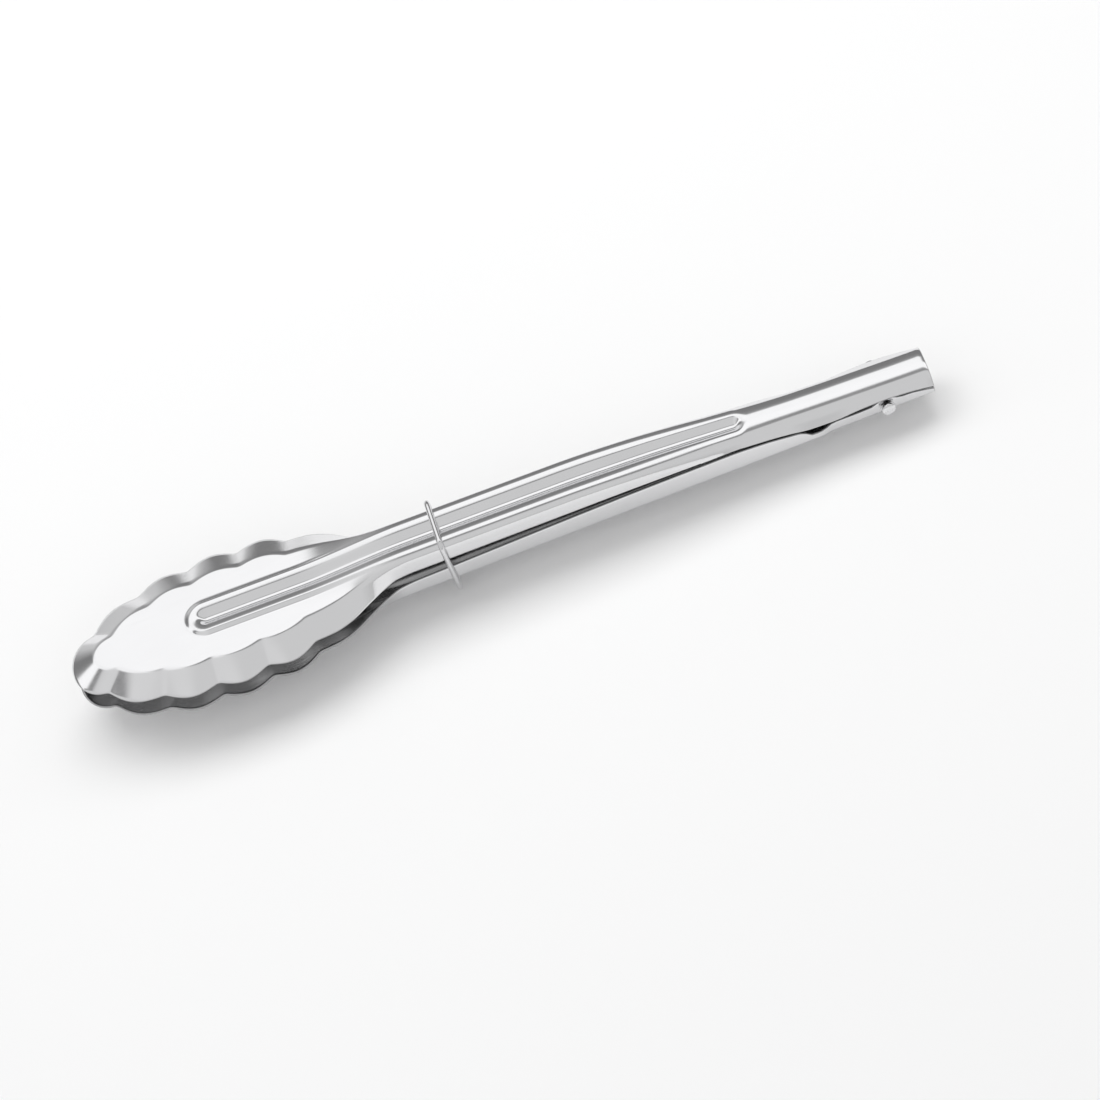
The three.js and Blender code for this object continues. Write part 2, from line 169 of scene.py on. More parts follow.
LOWER_EDGE = [(-290, 7.0), (-200, 7.0), (-176, 7.4), (-154, 8), (-131, 8.7), (-110, 9.3),
              (-85, 9.8), (-55, 9.9), (-42, 9.1), (-34, 7.9), (-29.5, 7.05), (-26, 4.3),
              (-22, 4.3), (-18, 5), (-10, 4.9), (-5, 5.1), (-2.2, 6.5), (0, 6.8), (2.2, 6.5), (5, 5.1),
              (9, 4.8), (13, 3.9), (20, 2.4)]
UPPER_EDGE = [(-290, 9.8), (-200, 9.8), (-176, 9), (-154, 9.1), (-131, 9.4), (-110, 9.7),
              (-85, 10.1), (-55, 10.2), (-42, 9.4), (-34, 8.3), (-26, 6.8), (-18, 6.6), (-9, 7.6),
              (0, 8), (9, 7.2), (20, 5.6)]
UPPER_WEB = [(-290, CLOSED_HEIGHT), (-112, CLOSED_HEIGHT), (-85, 16.2), (-70, 15.3), (-55, 14.1),
             (-40, 12.8), (-26, 11.9), (-10, 11.3), (20, 10.6)]
NECK_RIM = [(HEAD_START, 21.7), (-196, 21.2), (-190, 19.3), (-182, 14.6), (-176, 11.2), (-171, 9.2),
            (NECK_START, HALF_WIDTH)]
NECK_FLOOR = [(HEAD_START, 12.4), (-197, 12.1), (-191, 11.4), (-184, 9.9), (-177, 8.4), (-171, 7.75),
              (NECK_START, FLOOR_HALF_WIDTH)]


# ---------------------------------------------------------------- curves
def curve_through(keys, x):
    """A smooth monotone curve through (x, value) keys, level outside them."""
    kx = np.array([k[0] for k in keys], float)
    kv = np.array([k[1] for k in keys], float)
    slope = np.diff(kv) / np.diff(kx)
    tangent = np.zeros(len(keys))
    for i in range(1, len(keys) - 1):
        before, after = slope[i - 1], slope[i]
        if before * after > 0:
            tangent[i] = 2 * before * after / (before + after)
    x = np.clip(np.asarray(x, float), kx[0], kx[-1])
    i = np.clip(np.searchsorted(kx, x, side="right") - 1, 0, len(keys) - 2)
    width = kx[i + 1] - kx[i]
    t = (x - kx[i]) / width
    rise = t * t * (3 - 2 * t)
    bend = tangent[i] * t * (1 - t) ** 2 - tangent[i + 1] * t * t * (1 - t)
    return kv[i] * (1 - rise) + kv[i + 1] * rise + width * bend


def ease(value, a, b):
    t = np.clip((np.asarray(value, float) - a) / (b - a), 0, 1)
    return t * t * (3 - 2 * t)


def head_share(x):
    return 1 - ease(x, HEAD_START, NECK_START)


def web_inset(x, y, arched):
    """How far the web's outer face lies inside the straight web's plane."""
    x = np.asarray(x, float)
    share = head_share(x)
    distance = np.hypot(x - np.clip(x, BEAD_FRONT, BEAD_REAR), y)
    channel = GROOVE_DEPTH * (1 - ease(distance, CHANNEL_START, GROOVE_END))
    channel = channel + SLOPE_DEPTH * (1 - ease(distance, CHANNEL_START, CROWN))
    across = np.abs(y) + 0 * x
    shoulder = rounded_fall(np.clip(across - CROWN, 0, None), OUTER_CROWN_RADIUS,
                            FLOOR_HALF_WIDTH - CROWN)
    arch = rounded_fall(np.clip(across - REAR_FLAT, 0, None), REAR_CROWN_RADIUS, REAR_RADIUS)
    shoulder = shoulder + (arch - shoulder) * rear_share(x) * arched
    head_floor = RIDGE_HEIGHT * ease(distance, CROWN, BEAD_EDGE)
    return HEAD_SAG * share + channel + (1 - share) * shoulder + share * head_floor


def rear_share(x):
    """0 on the handle and 1 at the upper arm's arched rear end."""
    return ease(x, REAR_ARCH_FRONT, REAR_ARCH_REAR)


def rounded_fall(run, radius, stop):
    """How far a round shoulder has fallen after a run, carrying on straight past the stop."""
    inside = np.minimum(run, stop)
    return inside ** 2 / (2 * radius) + (run - inside) * stop / radius


def scallops(notches, depth, tip_x):
    """One side of the dish from its first notch to the tip, bulging between the notches."""
    points = []
    for start, end in zip(notches, notches[1:]):
        start, chord = np.array(start, float), np.subtract(end, start)
        outward = np.array([chord[1], -chord[0]]) / np.hypot(*chord)
        for k in range(LOBE_STEPS):
            t = k / LOBE_STEPS
            points.append(start + chord * t + outward * depth * math.sin(math.pi * t))
    notch = notches[-1]
    for k in range(TIP_STEPS + 1):
        angle = math.pi / 2 * k / TIP_STEPS
        points.append(np.array([notch[0] + (tip_x - notch[0]) * math.sin(angle),
                                notch[1] * math.cos(angle)]))
    return np.array(points)


def soften(points, width):
    """Rounds the corners of half an outline whose last point lies on its mirror line."""
    mirrored = points[-2::-1] * (1, -1)
    whole = np.vstack([points, mirrored])
    length = np.concatenate([[0], np.cumsum(np.hypot(*np.diff(whole, axis=0).T))])
    soft = whole.copy()
    for i in range(1, len(points)):
        weight = np.exp(-((length - length[i]) / width) ** 2 / 2)
        weight *= np.gradient(length)
        soft[i] = (whole * weight[:, None]).sum(0) / weight.sum()
    soft[0] = whole[0]
    soft = soft[:len(points)]
    soft[-1, 1] = 0
    return soft


def corner_run(x, arched):
    """How far the web's edge lies in from the flange, on the handle."""
    narrow = HALF_WIDTH - FLOOR_HALF_WIDTH
    return narrow + (REAR_RADIUS - narrow) * rear_share(x) * arched


def stations(half_width_at, arched):
    """Where the web ends and where the rim is, from the rear end to the tip."""
    marks = [REAR_END, BEAD_REAR + BEAD_END_REACH, BEAD_REAR - BEAD_END_REACH, NECK_START]
    steps = [HANDLE_STEP, BEAD_END_STEP, HANDLE_STEP]
    runs = [np.linspace(a, b, int((a - b) / step) + 1)[:-1]
            for a, b, step in zip(marks, marks[1:], steps)]
    handle_x = np.concatenate(runs)
    handle_w = half_width_at(handle_x)
    neck_x = np.linspace(NECK_START, HEAD_START, int((NECK_START - HEAD_START) / NECK_STEP))[:-1]
    floor = np.vstack([
        np.column_stack([handle_x, handle_w - corner_run(handle_x, arched)]),
        np.column_stack([neck_x, curve_through(NECK_FLOOR, neck_x)]),
        scallops(FLOOR_NOTCHES, FLOOR_LOBE_DEPTH, FLOOR_TIP)])
    rim = np.vstack([
        np.column_stack([handle_x, handle_w]),
        np.column_stack([neck_x, curve_through(NECK_RIM, neck_x)]),
        scallops(RIM_NOTCHES, RIM_LOBE_DEPTH, TIP_END)])
    first = len(handle_x) + len(neck_x) // 2
    floor[first:] = soften(floor[first:], NOTCH_SOFTNESS * FLOOR_SOFTNESS)
    rim[first:] = soften(rim[first:], NOTCH_SOFTNESS)
    lobe = np.cos(math.pi * np.arange(LOBE_STEPS) / LOBE_STEPS) ** 2
    tip = np.cos(math.pi / 2 * np.arange(TIP_STEPS + 1) / TIP_STEPS) ** 2
    notches = np.concatenate([np.zeros(len(handle_x)), np.linspace(0, 1, len(neck_x)),
                              *[lobe] * (len(RIM_NOTCHES) - 1), tip])
    return floor, rim, notches


def wall_section(run, drop, radius, tilt):
    """Points out from the web's edge: a round corner that starts at a tilt, then a straight run."""
    radius = min(radius, run / (1 - math.sin(tilt)))
    lead = np.array([radius * math.sin(tilt), radius * (1 - math.cos(tilt))])
    far_run, far_drop = run + lead[0], drop + lead[1]
    reach = math.hypot(far_run, far_drop - radius)
    straight = math.sqrt(max(reach * reach - radius * radius, 0))
    slope = math.atan2(far_drop - radius, far_run) + math.atan2(radius, straight)
    angle = tilt + (slope - tilt) * np.arange(1, CORNER_LINES + 1) / CORNER_LINES
    arc = np.column_stack([radius * np.sin(angle), radius * (1 - np.cos(angle))]) - lead
    t = np.arange(1, WALL_LINES + 1)[:, None] / WALL_LINES
    line = arc[-1] * (1 - t) + np.array([run, drop]) * t
    return np.vstack([arc, line])


# ---------------------------------------------------------------- the pressed arms
def arm_surface(web_at, edge_at, half_width_at, arched):
    """The arm's outer face as a grid of points, rows from the rear to the tip."""
    floor, rim, notches = stations(half_width_at, arched)
    rows = []
    for (fx, fy), (rx, ry), notch in zip(floor, rim, notches):
        bead_limit = min(BEAD_EDGE, fy * BEAD_LIMIT)
        inner = np.linspace(0, bead_limit, CHANNEL_LINES // 2 + 1)
        outer = np.linspace(bead_limit, max(fy, bead_limit), FLOOR_LINES + 1)[1:]
        y = np.concatenate([inner, outer])
        half = np.column_stack([np.full(len(y), fx), y, web_inset(fx, y, arched)])
        start = float(web_inset(fx, fy, arched))
        out = np.array([rx - fx, ry - fy])
        run = float(np.hypot(*out))
        out = out / run
        drop = float(web_at(rx) - edge_at(rx)) - start
        share = float(head_share(rx))
        rear_growth = REAR_RADIUS * REAR_CORNER_SCALE - CORNER_RADIUS
        radius = CORNER_RADIUS + rear_growth * float(rear_share(rx)) * arched
        head_radius = HEAD_CORNER_RADIUS + (NOTCH_CORNER_RADIUS - HEAD_CORNER_RADIUS) * notch
        radius += (head_radius - radius) * share
        rise = web_inset(fx, fy + SLOPE_STEP, arched) - web_inset(fx, fy - SLOPE_STEP, arched)
        tilt = math.atan(float(rise) / (2 * SLOPE_STEP))
        wall = wall_section(run, drop, radius, max(tilt, 0) * abs(out[1]))
        wall = np.column_stack([fx + out[0] * wall[:, 0], fy + out[1] * wall[:, 0], start + wall[:, 1]])
        half = np.vstack([half, wall])
        row = np.vstack([half[:0:-1] * (1, -1, 1), half])
        row[:, 2] = web_at(row[:, 0]) - row[:, 2]
        rows.append(row)
    return np.array(rows)


def grid_normals(grid):
    """The outward direction at each point of the grid."""
    along = np.gradient(grid, axis=0)
    across = np.gradient(grid, axis=1)
    # past the tip the outline carries on round the other side
    along[-1] = grid[-1] - grid[-2]
    flat = np.linalg.norm(along[-1], axis=1) < SHORT
    along[-1][flat] = (-1, 0, 0)
    normal = np.cross(across, along)
    length = np.linalg.norm(normal, axis=2, keepdims=True)
    normal = np.where(length > VANISHING, normal / np.maximum(length, VANISHING), (0, 0, 1))
    # on the last row the two walls meet, so both take the mean direction there
    mirrored = normal[-1][::-1] * (1, -1, 1)
    normal[-1] = normal[-1] + mirrored
    normal[-1] /= np.linalg.norm(normal[-1], axis=1, keepdims=True)
    return normal


def sheet_layers(grid):
    """The grid and the layers under it down to SHEET, with rounded free edges."""
    normal = grid_normals(grid)
    layers = [grid]
    for k in range(1, EDGE_LINES + 1):
        layers.append(grid - normal * SHEET * k / (EDGE_LINES + 1))
    layers.append(grid - normal * SHEET)
    # the edge's middle lines stand out a little, which rounds it
    for k, layer in enumerate(layers[1:-1], 1):
        swell = EDGE_ROUNDING * (math.sin(math.pi * k / (EDGE_LINES + 1)) - 1)
        for side, inner in ((0, 1), (-1, -2)):
            out = grid[:, side] - grid[:, inner]
            out /= np.maximum(np.linalg.norm(out, axis=1, keepdims=True), SHORT)
            layer[:, side] += out * swell
        layer[0] += np.array([1, 0, 0]) * swell
    for layer in (layers[0], layers[-1]):
        for side, inner in ((0, 1), (-1, -2)):
            out = grid[:, side] - grid[:, inner]
            out /= np.maximum(np.linalg.norm(out, axis=1, keepdims=True), SHORT)
            layer[:, side] -= out * EDGE_ROUNDING
        layer[0] -= (EDGE_ROUNDING, 0, 0)
    return layers


def build_sheet(name, layers):
    """A closed sheet from its layers. Its faces after the outer grid take the second material."""
    rows, columns, _ = layers[0].shape
    points = [layers[0].reshape(-1, 3), layers[-1].reshape(-1, 3)]
    count = rows * columns
    index = np.arange(count).reshape(rows, columns)
    quads = []
    a, b = index[:-1, :-1], index[1:, :-1]
    c, d = index[1:, 1:], index[:-1, 1:]
    quads.append(np.stack([a, d, c, b], -1).reshape(-1, 4))
    quads.append(np.stack([a, b, c, d], -1).reshape(-1, 4) + count)
    border = np.concatenate([index[::-1, 0], index[0, 1:], index[1:, -1]])
    lines = [border]
    offset = 2 * count
    for layer in layers[1:-1]:
        points.append(layer.reshape(-1, 3)[border])
        lines.append(np.arange(len(border)) + offset)
        offset += len(border)
    lines.append(border + count)
    for upper, lower in zip(lines, lines[1:]):
        quads.append(np.column_stack([upper[:-1], lower[:-1], lower[1:], upper[1:]]))
    mesh = bpy.data.meshes.new(name)
    mesh.from_pydata((np.vstack(points) * MM).tolist(), [], np.vstack(quads).tolist())
    # the inner face and the cut edges take the darker inner steel: painted shade inside the arms and
    # along the rim edges, on a duller finish
    inner_start = (rows - 1) * (columns - 1)
    for face in mesh.polygons[inner_start:]:
        face.material_index = 1
    work = bmesh.new()
    work.from_mesh(mesh)
    bmesh.ops.remove_doubles(work, verts=work.verts, dist=WELD)
    bmesh.ops.dissolve_degenerate(work, edges=work.edges, dist=WELD)
    bmesh.ops.recalc_face_normals(work, faces=work.faces)
    work.to_mesh(mesh)
    work.free()
    return mesh


def add_object(name, mesh, *materials):
    mesh.shade_smooth()
    obj = bpy.data.objects.new(name, mesh)
    bpy.context.scene.collection.objects.link(obj)
    for material in materials:
        obj.data.materials.append(material)
    return obj


def lower_half_width(x):
    return HALF_WIDTH + (LOWER_REAR_HALF_WIDTH - HALF_WIDTH) * ease(x, STEP_FRONT, STEP_REAR)


def cut_pin_hole(obj):
    """Cuts the pin's running hole through the flanges or ears."""
    bpy.ops.mesh.primitive_cylinder_add(vertices=PIN_SIDES, radius=(PIN_RADIUS + RUNNING_GAP) * MM,
                                        depth=4 * HALF_WIDTH * MM, location=(0, 0, PIN_HEIGHT * MM),
                                        rotation=(math.pi / 2, 0, 0))
    cutter = bpy.context.object
    cut = obj.modifiers.new("pin_hole", "BOOLEAN")
    cut.operation = "DIFFERENCE"
    cut.solver = "EXACT"
    cut.object = cutter
    apply_modifiers(obj)
    bpy.data.objects.remove(cutter)


def apply_modifiers(obj):
    bpy.context.view_layer.update()
    made = bpy.data.meshes.new_from_object(obj.evaluated_get(bpy.context.evaluated_depsgraph_get()))
    old = obj.data
    obj.modifiers.clear()
    obj.data = made
    made.name = old.name
    bpy.data.meshes.remove(old)


def lower_arm(material, inner):
    grid = arm_surface(lambda x: np.zeros_like(np.asarray(x, float)),
                       lambda x: -curve_through(LOWER_EDGE, x), lower_half_width, 0)
    mesh = build_sheet("lower_arm_sheet", sheet_layers(grid))
    mesh.transform(Matrix.Rotation(math.pi, 4, "X"))
    arm = add_object("lower_arm_sheet", mesh, material, inner)
    cut_pin_hole(arm)
    return arm


def upper_skin(grid, x, y):
    """The height of the upper arm's outer face over a point near the pin."""
    row = grid[np.argmin(np.abs(grid[:, grid.shape[1] // 2, 0] - x))]
    return float(np.interp(y, row[:, 1], row[:, 2]))


def ear_plate(side, grid):
    """One ear of the upper arm: a tab from the middle of the arched web's thickness to the pin."""
    arc = math.pi + math.pi * np.arange(EAR_STEPS + 1) / EAR_STEPS
    outline = [(EAR_RADIUS * math.cos(a), PIN_HEIGHT + EAR_RADIUS * math.sin(a)) for a in arc]
    near = EAR_OUTER - SHEET if side > 0 else -EAR_OUTER
    work = bmesh.new()
    sides = []
    for y in (near, near + SHEET):
        ends = [(x, upper_skin(grid, x, y) - SHEET / 2)
                for x in (-EAR_TOP_HALF_LENGTH, EAR_TOP_HALF_LENGTH)]
        points = [ends[0], *outline, ends[1]]
        sides.append([work.verts.new((x * MM, y * MM, z * MM)) for x, z in points])
    work.faces.new(sides[0])
    work.faces.new(sides[1][::-1])
    count = len(sides[0])
    for i in range(count):
        j = (i + 1) % count
        work.faces.new((sides[0][i], sides[0][j], sides[1][j], sides[1][i]))
    bmesh.ops.recalc_face_normals(work, faces=work.faces)
    mesh = bpy.data.meshes.new("ear")
    work.to_mesh(mesh)
    work.free()
    return mesh


def upper_arm(material, inner):
    grid = arm_surface(lambda x: curve_through(UPPER_WEB, x), lambda x: curve_through(UPPER_EDGE, x),
                       lambda x: np.full_like(np.asarray(x, float), HALF_WIDTH), 1)
    mesh = build_sheet("upper_arm_sheet", sheet_layers(grid))
    arm = add_object("upper_arm_sheet", mesh, material, inner)
    for side in (1, -1):
        # the ears take the darker inner steel, which is painted shade where they sit inside the lower
        # arm's flanges
        ear = add_object("ear", ear_plate(side, grid), inner)
        join = arm.modifiers.new("ear", "BOOLEAN")
        join.operation = "UNION"
        join.solver = "EXACT"
        join.object = ear
        apply_modifiers(arm)
        bpy.data.objects.remove(ear)
    cut_pin_hole(arm)
    pivot = Vector((0, 0, PIN_HEIGHT * MM))
    turn = Matrix.Translation(pivot) @ Matrix.Rotation(REST_OPENING, 4, "Y") @ Matrix.Translation(-pivot)
    arm.data.transform(turn)
    return arm


# ---------------------------------------------------------------- pin, spring and ring
# a direction that no wire starts along, to set the first section by
TUBE_REFERENCE = (0.0, 0.9, 0.43589)


def swept_tube(name, path, radii, sides, closed=False):
    """Round wire along a path of points, with flat or open-loop ends."""
    path = np.asarray(path, float)
    count = len(path)
    if closed:
        tangent = np.roll(path, -1, 0) - np.roll(path, 1, 0)
    else:
        tangent = np.gradient(path, axis=0)
    tangent /= np.linalg.norm(tangent, axis=1, keepdims=True)
    normal = np.cross(tangent[0], TUBE_REFERENCE)
    normal /= np.linalg.norm(normal)
    points, quads = [], []
    for i in range(count):
        normal = normal - tangent[i] * normal.dot(tangent[i])
        normal /= np.linalg.norm(normal)
        side = np.cross(tangent[i], normal)
        for s in range(sides):
            turn = 2 * math.pi * s / sides
            points.append(path[i] + radii[i] * (normal * math.cos(turn) + side * math.sin(turn)))
    spans = count if closed else count - 1
    for i in range(spans):
        for s in range(sides):
            a, b = i * sides + s, i * sides + (s + 1) % sides
            c, d = (i + 1) % count * sides + (s + 1) % sides, (i + 1) % count * sides + s
            quads.append((a, b, c, d))
    if not closed:
        quads.append(tuple(range(sides))[::-1])
        quads.append(tuple(range((count - 1) * sides, count * sides)))
    mesh = bpy.data.meshes.new(name)
    mesh.from_pydata((np.array(points) * MM).tolist(), [], quads)
    work = bmesh.new()
    work.from_mesh(mesh)
    bmesh.ops.recalc_face_normals(work, faces=work.faces)
    work.to_mesh(mesh)
    work.free()
    return mesh


def coil_points(first_turn, last_turn):
    """Points on the spring's coil between two turn counts."""
    width = SPRING_TURNS * SPRING_PITCH
    count = max(int(abs(last_turn - first_turn) * COIL_STEPS), 2)
    turns = np.linspace(first_turn, last_turn, count + 1)
    angle = 2 * math.pi * turns
    return np.column_stack([SPRING_COIL_RADIUS * np.sin(angle),
                            width / 2 - SPRING_PITCH * turns,
                            PIN_HEIGHT - SPRING_COIL_RADIUS * np.cos(angle)])


def spring_coil(material):
    """The lower leg and all but the last half turn, which stay with the lower arm."""
    width = SPRING_TURNS * SPRING_PITCH
    leg_x = np.linspace(-SPRING_LEG, -LOWER_LEG_START, SPRING_LEG_POINTS)
    leg = np.column_stack([leg_x, np.full(SPRING_LEG_POINTS, width / 2),
                           np.full(SPRING_LEG_POINTS, PIN_HEIGHT - SPRING_COIL_RADIUS)])
    path = np.vstack([leg, coil_points(0, SPRING_TURNS - COIL_SPLIT + COIL_OVERLAP)])
    radii = np.full(len(path), SPRING_WIRE_RADIUS)
    radii[:2] *= WIRE_END
    radii[-3:] *= WIRE_TUCK
    return add_object("spring_coil", swept_tube("spring_coil", path, radii, SPRING_SIDES), material)


def spring_upper_leg(material):
    """The last half turn and the leg that lies under the upper arm's web."""
    width = SPRING_TURNS * SPRING_PITCH
    rise = math.atan2(SPRING_LEG_RISE, SPRING_LEG)
    out = np.linspace(UPPER_LEG_START, SPRING_LEG, SPRING_LEG_POINTS)
    leg = np.column_stack([-out * math.cos(rise), np.full(SPRING_LEG_POINTS, -width / 2),
                           PIN_HEIGHT + SPRING_COIL_RADIUS + out * math.sin(rise)])
    path = np.vstack([coil_points(SPRING_TURNS - COIL_SPLIT, SPRING_TURNS), leg])
    radii = np.full(len(path), SPRING_WIRE_RADIUS)
    radii[-2:] *= WIRE_END[::-1]
    mesh = swept_tube("spring_upper_leg", path, radii, SPRING_SIDES)
    return add_object("spring_upper_leg", mesh, material)


def locking_ring(material):
    """One closed loop of wire round both arms, with straight sides and round corners."""
    half_width = RING_INNER_HALF_WIDTH + RING_WIRE_RADIUS
    middle = (RING_TOP + RING_BOTTOM) / 2
    half_height = (RING_TOP - RING_BOTTOM) / 2 + RING_WIRE_RADIUS
    path = []
    for corner in range(4):
        centre_y = (1 if corner in (0, 3) else -1) * (half_width - RING_CORNER)
        centre_z = middle + (1 if corner < 2 else -1) * (half_height - RING_CORNER)
        for k in range(RING_CORNER_STEPS + 1):
            angle = math.pi / 2 * (corner + k / RING_CORNER_STEPS)
            path.append((RING_X, centre_y + RING_CORNER * math.cos(angle),
                         centre_z + RING_CORNER * math.sin(angle)))
        if corner in (0, 2):
            side = 1 if corner == 0 else -1
            for k in range(1, RING_CORNER_STEPS):
                t = 1 - 2 * k / RING_CORNER_STEPS
                path.append((RING_X, side * t * (half_width - RING_CORNER),
                             middle + side * half_height))
    radii = np.full(len(path), RING_WIRE_RADIUS)
    mesh = swept_tube("ring_wire", path, radii, RING_SIDES, closed=True)
    return add_object("ring_wire", mesh, material)


def pivot_pin(material):
    """A rivet: a turned shank with a low domed head outside each flange."""
    seat = LOWER_REAR_HALF_WIDTH + PIN_FLOAT
    end = seat + PIN_HEAD_LENGTH
    half = [(PIN_RADIUS, 0), (PIN_RADIUS, seat - PIN_NECK), (PIN_RADIUS + PIN_NECK, seat)]
    half += [(PIN_HEAD_RADIUS - PIN_HEAD_CHAMFER, seat),
             (PIN_HEAD_RADIUS, seat + PIN_HEAD_CHAMFER)]
    for k in range(DOME_STEPS + 1):
        angle = math.pi / 2 * k / DOME_STEPS
        half.append((PIN_HEAD_RADIUS - PIN_DOME_WIDTH * (1 - math.cos(angle)),
                     end - PIN_DOME_HEIGHT * (1 - math.sin(angle))))
    half += [(radius, end) for radius in PIN_FACE_RADII]
    profile = [(r, -y) for r, y in reversed(half[1:])] + half
    work = bmesh.new()
    rings = []
    for radius, y in profile:
        if radius == 0:
            rings.append([work.verts.new((0, y * MM, PIN_HEIGHT * MM))])
            continue
        turns = [2 * math.pi * s / PIN_SIDES for s in range(PIN_SIDES)]
        rings.append([work.verts.new((radius * MM * math.cos(turn), y * MM,
                                      PIN_HEIGHT * MM + radius * MM * math.sin(turn)))
                      for turn in turns])
    for low, high in zip(rings, rings[1:]):
        for s in range(PIN_SIDES):
            t = (s + 1) % PIN_SIDES
            if len(low) == 1:
                work.faces.new((low[0], high[s], high[t]))
            elif len(high) == 1:
                work.faces.new((low[s], high[0], low[t]))
            else:
                work.faces.new((low[s], high[s], high[t], low[t]))
    bmesh.ops.recalc_face_normals(work, faces=work.faces)
    mesh = bpy.data.meshes.new("rivet")
    work.to_mesh(mesh)
    work.free()
    return add_object("rivet", mesh, material)


# ---------------------------------------------------------------- materials
NOISE_DETAIL = 3.0
MOTTLE_SCALE = 55.0
# the grain's usual low and high values, and how far roughness varies between them
GRAIN_RANGE = (0.3, 0.7)
ROUGHNESS_SPREAD = (0.8, 1.25)
GRAIN_HEIGHT = 0.00002


def steel(name, colour, roughness, grain_scale, grain_bump, mottle=0.04):
    """Stainless steel: fine drawn grain along the piece, faint mottling and a hint of bump."""
    material = bpy.data.materials.new(name)
    material.use_nodes = True
    nodes, links = material.node_tree.nodes, material.node_tree.links
    shader = nodes["Principled BSDF"]
    shader.inputs["Metallic"].default_value = 1.0
    where = nodes.new("ShaderNodeTexCoord")
    stretch = nodes.new("ShaderNodeMapping")
    stretch.inputs["Scale"].default_value = grain_scale
    grain = nodes.new("ShaderNodeTexNoise")
    grain.inputs["Scale"].default_value = 1.0
    grain.inputs["Detail"].default_value = NOISE_DETAIL
    cloud = nodes.new("ShaderNodeTexNoise")
    cloud.inputs["Scale"].default_value = MOTTLE_SCALE
    cloud.inputs["Detail"].default_value = NOISE_DETAIL
    tint = nodes.new("ShaderNodeMixRGB")
    tint.inputs["Color1"].default_value = (*[c * (1 - mottle) for c in colour], 1)
    tint.inputs["Color2"].default_value = (*colour, 1)
    rough = nodes.new("ShaderNodeMapRange")
    rough.inputs["From Min"].default_value = GRAIN_RANGE[0]
    rough.inputs["From Max"].default_value = GRAIN_RANGE[1]
    rough.inputs["To Min"].default_value = roughness * ROUGHNESS_SPREAD[0]
    rough.inputs["To Max"].default_value = roughness * ROUGHNESS_SPREAD[1]
    bump = nodes.new("ShaderNodeBump")
    bump.inputs["Strength"].default_value = grain_bump
    bump.inputs["Distance"].default_value = GRAIN_HEIGHT
    links.new(where.outputs["Object"], stretch.inputs["Vector"])
    links.new(stretch.outputs["Vector"], grain.inputs["Vector"])
    links.new(where.outputs["Object"], cloud.inputs["Vector"])
    links.new(cloud.outputs["Fac"], tint.inputs["Fac"])
    links.new(tint.outputs["Color"], shader.inputs["Base Color"])
    links.new(grain.outputs["Fac"], rough.inputs["Value"])
    links.new(rough.outputs["Result"], shader.inputs["Roughness"])
    links.new(grain.outputs["Fac"], bump.inputs["Height"])
    links.new(bump.outputs["Normal"], shader.inputs["Normal"])
    return material


ARM_STEEL = steel("polished_arm_steel", (0.80, 0.80, 0.81), 0.13, (60, 2600, 2600), 0.03)
# the inner faces, cut edges and ears: a duller finish, and a base colour about half the outer steel's,
# which is painted shade inside and between the arms
SHADED_INNER_STEEL = steel("dull_inner_steel_painted_shade", (0.42, 0.42, 0.425), 0.22, (60, 900, 900), 0.02, 0.08)
RING_STEEL = steel("ring_wire_steel", (0.74, 0.74, 0.75), 0.1, (2200, 300, 300), 0.1)
PIN_STEEL = steel("rivet_steel", (0.78, 0.78, 0.79), 0.24, (1500, 1500, 1500), 0.2)
SPRING_STEEL = steel("spring_wire_steel", (0.6, 0.6, 0.61), 0.25, (1400, 1400, 1400), 0.2)


# ---------------------------------------------------------------- stage, light and camera
CAMERA_AZIMUTH = math.radians(3.2)
CAMERA_ELEVATION = math.radians(53.3)
CAMERA_ROLL = math.radians(-23.6)
CAMERA_LENS = 130.0
CAMERA_DISTANCE = 1.3155
CAMERA_AIM = Vector((-0.133, 0, 0.008))
CAMERA_SHIFT = (0.01603, -0.00825)


def add_camera():
    toward = Vector((-math.sin(CAMERA_AZIMUTH) * math.cos(CAMERA_ELEVATION),
                     math.cos(CAMERA_AZIMUTH) * math.cos(CAMERA_ELEVATION),
                     -math.sin(CAMERA_ELEVATION)))
    right = Vector((math.cos(CAMERA_AZIMUTH), math.sin(CAMERA_AZIMUTH), 0))
    up = right.cross(toward)
    rolled_right = right * math.cos(CAMERA_ROLL) + up * math.sin(CAMERA_ROLL)
    rolled_up = -right * math.sin(CAMERA_ROLL) + up * math.cos(CAMERA_ROLL)
    aim = CAMERA_AIM + rolled_right * CAMERA_SHIFT[0] + rolled_up * CAMERA_SHIFT[1]
    data = bpy.data.cameras.new("camera")
    data.lens = CAMERA_LENS
    data.sensor_width = 36.0
    data.clip_end = 20.0
    camera = bpy.data.objects.new("camera", data)
    axes = Matrix((rolled_right, rolled_up, -toward)).transposed().to_4x4()
    camera.matrix_world = Matrix.Translation(aim - toward * CAMERA_DISTANCE) @ axes
    bpy.context.scene.collection.objects.link(camera)
    bpy.context.scene.camera = camera


def area_light(name, place, aim, size, power):
    data = bpy.data.lights.new(name, "AREA")
    data.shape = "RECTANGLE"
    data.size, data.size_y = size
    data.energy = power
    light = bpy.data.objects.new(name, data)
    light.location = place
    light.visible_glossy = False
    light.rotation_euler = (Vector(aim) - Vector(place)).to_track_quat("-Z", "Y").to_euler()
    bpy.context.scene.collection.objects.link(light)


# the ring hangs lower when the arms are open, and the floor stays below it at every pose
FLOOR_CLEARANCE = 0.0033
FLOOR_SIZE = 6.0
FLOOR_MIDDLE = (-0.13, 0)


